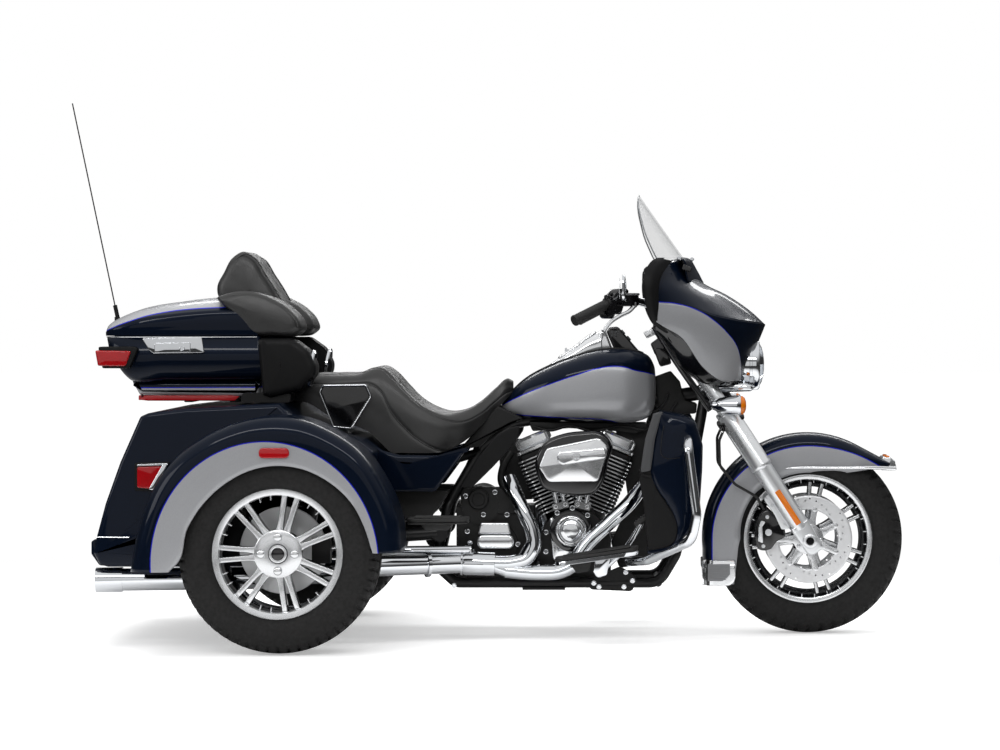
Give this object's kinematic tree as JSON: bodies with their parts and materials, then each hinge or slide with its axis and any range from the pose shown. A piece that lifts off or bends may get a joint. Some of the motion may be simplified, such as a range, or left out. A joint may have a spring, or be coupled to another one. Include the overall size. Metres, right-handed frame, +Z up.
{
  "type": "motorized trike",
  "caption": "Touring motor trike with a steered front wheel, V-twin engine, fork-mounted fairing and windshield, rear trunk and lidded luggage box with backrest.",
  "frame": {"origin": "on the ground, under the middle of the whole vehicle's bounding box", "axes": "+X forward, +Y to the rider's left, +Z up"},
  "size_m": [2.8212, 1.382, 1.7845],
  "materials": {
    "body_paint": "gloss two-tone, dark navy side",
    "fender_paint": "gloss two-tone, mid grey side",
    "frame_paint": "satin black",
    "engine_black": "wrinkle black with machined fin edges",
    "chrome": "polished chrome",
    "fork_metal": "polished",
    "wheel_alloy": "machined and polished",
    "disc_steel": "ground disc",
    "tyre": "matt, treaded",
    "seat_leather": "smooth grained, seamed",
    "black_plastic": "fine grained",
    "grip_rubber": "matt",
    "red_lens": "clear red",
    "screen": "clear grey"
  },
  "bodies": {
    "chassis": {"frame": "frame_paint", "engine_cases": "engine_black", "rear_cylinder": "engine_black", "front_cylinder": "engine_black", "rocker_covers": "chrome", "air_cleaner": "chrome", "engine_covers": "chrome", "primary_cover": "chrome", "exhaust_pipes": "chrome", "mufflers": "chrome", "rear_axle": "frame_paint", "fuel_tank": "body_paint", "tank_console": "chrome", "seat": "seat_leather", "side_panels": "body_paint", "heat_deflectors": "black_plastic", "rear_body": "body_paint", "rear_fender_right": "fender_paint", "rear_fender_left": "fender_paint", "red_lamps": "red_lens", "luggage_box": "body_paint", "speaker_pods": "black_plastic", "antenna": "frame_paint", "lower_fairings": "body_paint", "engine_guard": "chrome", "footboards": "black_plastic"},
    "steering": {"fork": "fork_metal", "front_fender": "fender_paint", "fairing": "body_paint", "dash": "black_plastic", "windshield": "screen", "front_lamps": "chrome", "handlebar": "chrome", "hand_controls": "grip_rubber", "mirrors": "black_plastic", "front_calipers": "engine_black", "brake_hoses": "grip_rubber"},
    "front_wheel": {"front_tyre": "tyre", "front_rim": "wheel_alloy", "front_discs": "disc_steel"},
    "rear_wheel_right": {"rear_tyre_right": "tyre", "rear_rim_right": "wheel_alloy"},
    "rear_wheel_left": {"rear_tyre_left": "tyre", "rear_rim_left": "wheel_alloy"},
    "box_lid": {"luggage_lid": "body_paint", "backrest": "seat_leather"},
    "trunk_lid": {"trunk_door": "body_paint"},
    "filler_lid": {"fuel_door": "body_paint"}
  },
  "joints": [
    {"name": "steering", "type": "hinge", "parent": "chassis", "child": "steering", "pos_m": [0.80181, 0, 0.8], "axis": [-0.4384, 0, 0.8988], "range_deg": [-33, 33]},
    {"name": "front_wheel_spin", "type": "hinge", "parent": "steering", "child": "front_wheel", "pos_m": [1.095, 0, 0.316], "axis": [0, 1, 0], "continuous": true},
    {"name": "rear_right_spin", "type": "hinge", "parent": "chassis", "child": "rear_wheel_right", "pos_m": [-0.591, -0.554, 0.316], "axis": [0, 1, 0], "continuous": true},
    {"name": "rear_left_spin", "type": "hinge", "parent": "chassis", "child": "rear_wheel_left", "pos_m": [-0.591, 0.554, 0.316], "axis": [0, 1, 0], "continuous": true},
    {"name": "box_lid_hinge", "type": "hinge", "parent": "chassis", "child": "box_lid", "pos_m": [-0.95, 0.3, 0.99], "axis": [-1, 0, 0], "range_deg": [0, 80]},
    {"name": "trunk_door_hinge", "type": "hinge", "parent": "chassis", "child": "trunk_lid", "pos_m": [-1.1455, 0.322, 0.524], "axis": [-0.3354, 0, -0.9421], "range_deg": [0, 100]},
    {"name": "fuel_door_hinge", "type": "hinge", "parent": "chassis", "child": "filler_lid", "pos_m": [0.39, 0, 1.0075], "axis": [0, 1, 0], "range_deg": [0, 85]}
  ]
}
